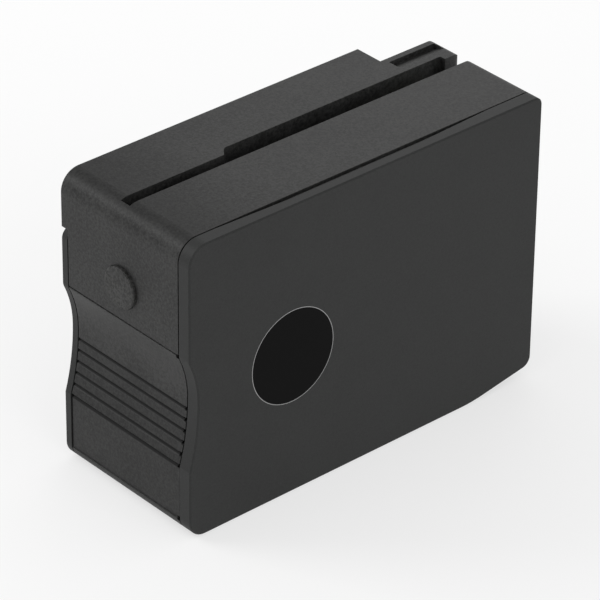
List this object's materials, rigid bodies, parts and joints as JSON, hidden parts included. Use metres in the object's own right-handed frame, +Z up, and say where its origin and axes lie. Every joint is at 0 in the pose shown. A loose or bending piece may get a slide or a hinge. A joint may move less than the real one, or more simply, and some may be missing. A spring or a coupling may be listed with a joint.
{
  "type": "inkjet ink cartridge",
  "caption": "Wide black inkjet ink cartridge with a ribbed finger grip, a stepped contact slot in the top and a valved ink outlet.",
  "frame": {"origin": "bottom centre of the bounding box, on the surface that the cartridge stands on", "axes": "+X from the ribbed grip to the rear face with the ink outlet, the way it goes into the printer; +Y to the left side; +Z up"},
  "size_m": [0.0848, 0.0354, 0.0603],
  "materials": {
    "black_plastic": "fine moulded grain",
    "white_plastic": "as moulded",
    "steel": "bright drawn",
    "seal_rubber": "matt",
    "circuit_board": "solder mask",
    "contact_metal": "gold plated",
    "potting": "cast",
    "clear_film": "metallised film"
  },
  "bodies": {
    "housing": {"body": "black_plastic", "right_cover": "black_plastic", "left_cover": "black_plastic", "fill_cap": "black_plastic", "fill_plug": "seal_rubber", "chip_board": "circuit_board", "chip_contacts": "contact_metal", "chip_die": "potting", "outlet_cap": "black_plastic", "outlet_seal": "seal_rubber", "valve_spring": "steel", "outlet_filter": "steel", "air_cap": "black_plastic", "air_seal": "seal_rubber", "air_bag": "clear_film", "bag_fitting": "white_plastic", "bag_spring": "steel", "vent_film": "clear_film"},
    "valve": {"outlet_valve": "white_plastic"},
    "plate": {"bag_plate": "white_plastic"}
  },
  "joints": [
    {"name": "valve_slide", "type": "slide", "parent": "housing", "child": "valve", "axis": [-1, 0, 0], "range_m": [0, 0.002], "stiffness_N_per_m": 200, "springref_m": -0.004, "deforming": ["valve_spring"]},
    {"name": "plate_slide", "type": "slide", "parent": "housing", "child": "plate", "axis": [0, -1, 0], "range_m": [0, 0.005], "stiffness_N_per_m": 40, "springref_m": -0.006, "deforming": ["bag_spring", "air_bag"]}
  ]
}
